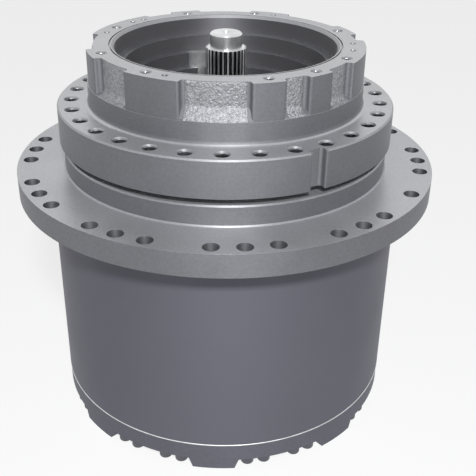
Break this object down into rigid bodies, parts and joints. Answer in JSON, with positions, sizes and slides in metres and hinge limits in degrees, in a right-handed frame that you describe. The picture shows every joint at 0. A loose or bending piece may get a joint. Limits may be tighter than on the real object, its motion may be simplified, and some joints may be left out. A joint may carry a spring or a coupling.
{
  "type": "excavator final drive",
  "caption": "Travel reduction drive for a crawler excavator: round drum with a sprocket flange, a fixed frame flange and a motor flange above, and planetary gears inside.",
  "frame": {"origin": "on the axis of rotation at the level of the cover's feet, the lowest point", "axes": "+Z along the axis of rotation, from the cover towards the motor flange; -Y is the side nearest the picture's camera"},
  "size_m": [0.5899, 0.59, 0.5495],
  "materials": {
    "spindle_casting": "machined and bead blasted grey iron",
    "drum_casting": "fine turned grey iron",
    "cover_casting": "grey iron, machined rim",
    "fasteners": "dark oxide",
    "gear_steel": "ground teeth",
    "ground_steel": "ground and polished",
    "bearing_steel": "ground",
    "carrier_iron": "as cast, machined faces",
    "seal_iron": "lapped face",
    "seal_rubber": "matt",
    "bronze": "machined bronze"
  },
  "bodies": {
    "spindle": {"spindle_housing": "spindle_casting", "brake_locating_pin": "ground_steel", "upper_inner_race": "bearing_steel", "lower_inner_race": "bearing_steel", "bearing_nut": "fasteners", "stage_2_carrier": "carrier_iron", "stage_2_planet_pins": "ground_steel", "stage_2_lock_pins": "fasteners", "stage_2_thrust_washers": "bronze", "carrier_snap_ring": "fasteners", "fixed_seal_ring": "seal_iron", "fixed_seal_rubber": "seal_rubber"},
    "drum": {"drum_housing": "drum_casting", "ring_gear": "gear_steel", "ring_gear_pins": "fasteners", "cover": "cover_casting", "cover_bolts": "fasteners", "cover_o_ring": "seal_rubber", "cover_plugs": "fasteners", "shaft_thrust_pad": "bronze", "upper_outer_race": "bearing_steel", "lower_outer_race": "bearing_steel", "rotating_seal_ring": "seal_iron", "rotating_seal_rubber": "seal_rubber"},
    "input_shaft": {"input_shaft": "ground_steel"},
    "first_carrier": {"stage_1_carrier": "carrier_iron", "stage_1_planet_pins": "ground_steel", "stage_1_lock_pins": "fasteners", "stage_1_thrust_washers": "bronze", "stage_2_sun_gear": "gear_steel"},
    "upper_rollers": {"upper_rollers": "bearing_steel"},
    "lower_rollers": {"lower_rollers": "bearing_steel"},
    "stage_1_planet_1": {"stage_1_planet_1": "gear_steel", "stage_1_bush_1": "bronze"},
    "stage_1_planet_2": {"stage_1_planet_2": "gear_steel", "stage_1_bush_2": "bronze"},
    "stage_1_planet_3": {"stage_1_planet_3": "gear_steel", "stage_1_bush_3": "bronze"},
    "stage_2_planet_1": {"stage_2_planet_1": "gear_steel", "stage_2_bush_1": "bronze"},
    "stage_2_planet_2": {"stage_2_planet_2": "gear_steel", "stage_2_bush_2": "bronze"},
    "stage_2_planet_3": {"stage_2_planet_3": "gear_steel", "stage_2_bush_3": "bronze"},
    "stage_2_planet_4": {"stage_2_planet_4": "gear_steel", "stage_2_bush_4": "bronze"}
  },
  "joints": [
    {"name": "drum_spin", "type": "hinge", "parent": "spindle", "child": "drum", "pos_m": [0, 0, 0.2], "axis": [0, 0, 1], "continuous": true},
    {"name": "input_shaft_spin", "type": "hinge", "parent": "spindle", "child": "input_shaft", "pos_m": [0, 0, 0.2], "axis": [0, 0, 1], "continuous": true},
    {"name": "first_carrier_spin", "type": "hinge", "parent": "spindle", "child": "first_carrier", "pos_m": [0, 0, 0.1], "axis": [0, 0, 1], "continuous": true},
    {"name": "upper_rollers_spin", "type": "hinge", "parent": "spindle", "child": "upper_rollers", "pos_m": [0, 0, 0.35], "axis": [0, 0, 1], "continuous": true},
    {"name": "lower_rollers_spin", "type": "hinge", "parent": "spindle", "child": "lower_rollers", "pos_m": [0, 0, 0.3], "axis": [0, 0, 1], "continuous": true},
    {"name": "stage_1_planet_1_spin", "type": "hinge", "parent": "first_carrier", "child": "stage_1_planet_1", "pos_m": [0.126, 0, 0.08], "axis": [0, 0, 1], "continuous": true},
    {"name": "stage_1_planet_2_spin", "type": "hinge", "parent": "first_carrier", "child": "stage_1_planet_2", "pos_m": [-0.063, 0.10912, 0.08], "axis": [0, 0, 1], "continuous": true},
    {"name": "stage_1_planet_3_spin", "type": "hinge", "parent": "first_carrier", "child": "stage_1_planet_3", "pos_m": [-0.063, -0.10912, 0.08], "axis": [0, 0, 1], "continuous": true},
    {"name": "stage_2_planet_1_spin", "type": "hinge", "parent": "spindle", "child": "stage_2_planet_1", "pos_m": [0.133, 0, 0.19], "axis": [0, 0, 1], "continuous": true},
    {"name": "stage_2_planet_2_spin", "type": "hinge", "parent": "spindle", "child": "stage_2_planet_2", "pos_m": [0, 0.133, 0.19], "axis": [0, 0, 1], "continuous": true},
    {"name": "stage_2_planet_3_spin", "type": "hinge", "parent": "spindle", "child": "stage_2_planet_3", "pos_m": [-0.133, 0, 0.19], "axis": [0, 0, 1], "continuous": true},
    {"name": "stage_2_planet_4_spin", "type": "hinge", "parent": "spindle", "child": "stage_2_planet_4", "pos_m": [0, -0.133, 0.19], "axis": [0, 0, 1], "continuous": true}
  ],
  "couplings": [
    {"joint": "input_shaft_spin", "follows": "drum_spin", "ratio": -23.76},
    {"joint": "first_carrier_spin", "follows": "drum_spin", "ratio": -3.4706},
    {"joint": "upper_rollers_spin", "follows": "drum_spin", "ratio": 0.55},
    {"joint": "lower_rollers_spin", "follows": "drum_spin", "ratio": 0.55},
    {"joint": "stage_1_planet_1_spin", "follows": "drum_spin", "ratio": 11.468},
    {"joint": "stage_1_planet_2_spin", "follows": "drum_spin", "ratio": 11.468},
    {"joint": "stage_1_planet_3_spin", "follows": "drum_spin", "ratio": 11.468},
    {"joint": "stage_2_planet_1_spin", "follows": "drum_spin", "ratio": 2.8095},
    {"joint": "stage_2_planet_2_spin", "follows": "drum_spin", "ratio": 2.8095},
    {"joint": "stage_2_planet_3_spin", "follows": "drum_spin", "ratio": 2.8095},
    {"joint": "stage_2_planet_4_spin", "follows": "drum_spin", "ratio": 2.8095}
  ]
}
